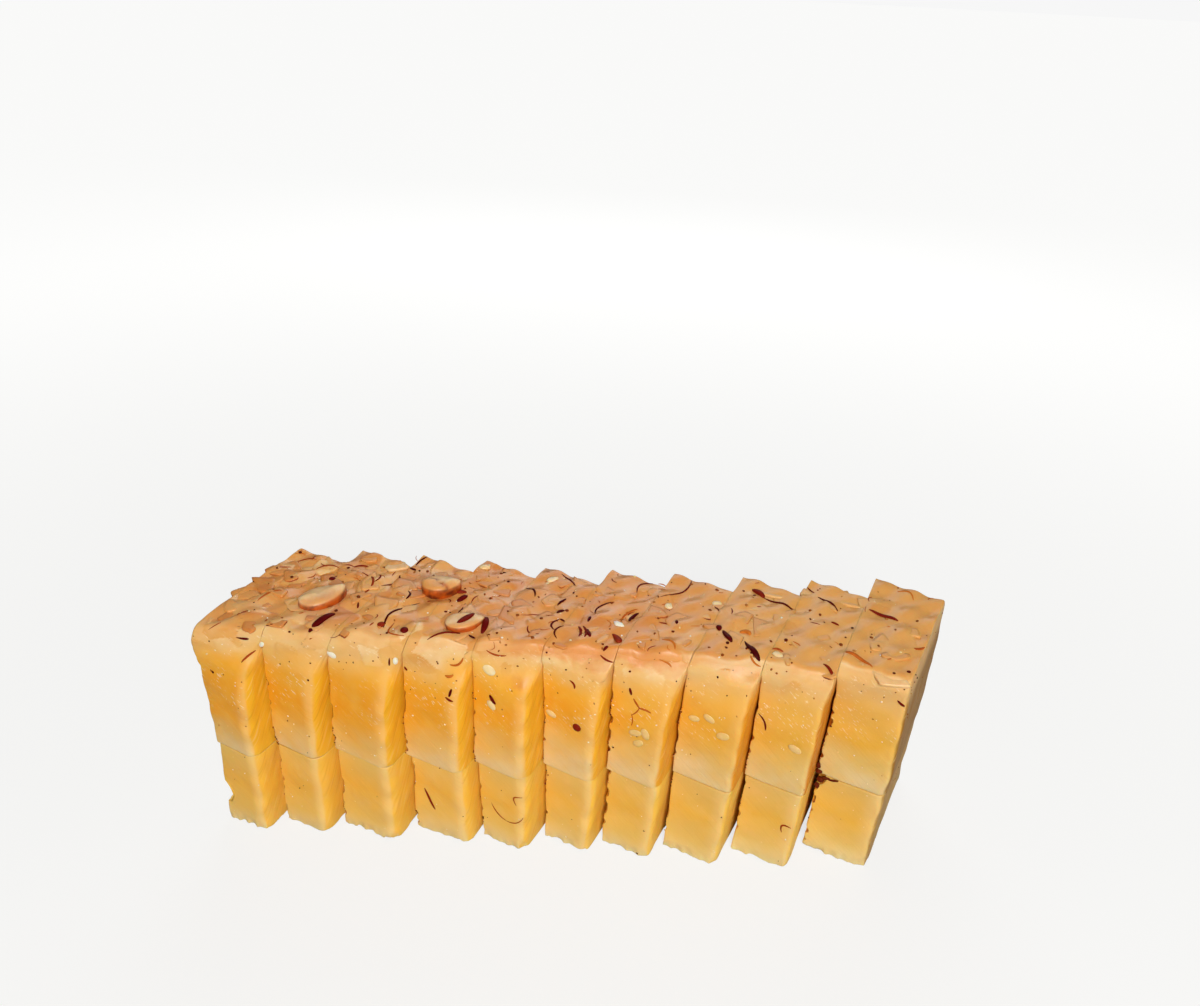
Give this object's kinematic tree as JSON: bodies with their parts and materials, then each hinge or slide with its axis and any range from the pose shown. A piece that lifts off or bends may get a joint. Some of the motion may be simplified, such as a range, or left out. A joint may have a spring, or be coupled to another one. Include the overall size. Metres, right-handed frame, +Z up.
{
  "type": "coconut halwa",
  "caption": "Block of coconut halwa in two layers, cut into upright slices that have slid apart like leaning books, with almond flakes on top.",
  "frame": {"origin": "on the surface it stands on, under the middle of the row", "axes": "+X along the row, from the thinnest slice to the thickest; +Y away from the front; +Z up"},
  "size_m": [0.3194, 0.0722, 0.1158],
  "materials": {
    "halwa_plain": "moist, softly translucent milk sweet, warm yellow",
    "halwa_topped": "moist milk sweet, cream at the top, orange half way down and tan at the bottom, glazed on top",
    "almond": "cut almond, cream, semi-matt",
    "nut_skin": "red-brown nut skin, slightly glossy",
    "crumb": "dark crumbs, matt"
  },
  "bodies": {
    "root": {"lower_slice_01": "halwa_plain", "lower_slice_02": "halwa_plain", "lower_slice_03": "halwa_plain", "lower_slice_04": "halwa_plain", "lower_slice_05": "halwa_plain", "lower_slice_06": "halwa_plain", "lower_slice_07": "halwa_plain", "lower_slice_08": "halwa_plain", "lower_slice_09": "halwa_plain", "lower_slice_10": "halwa_plain", "upper_slice_01": "halwa_topped", "upper_slice_02": "halwa_topped", "upper_slice_03": "halwa_topped", "upper_slice_04": "halwa_topped", "upper_slice_05": "halwa_topped", "upper_slice_06": "halwa_topped", "upper_slice_07": "halwa_topped", "upper_slice_08": "halwa_topped", "upper_slice_09": "halwa_topped", "upper_slice_10": "halwa_topped"}
  },
  "joints": []
}
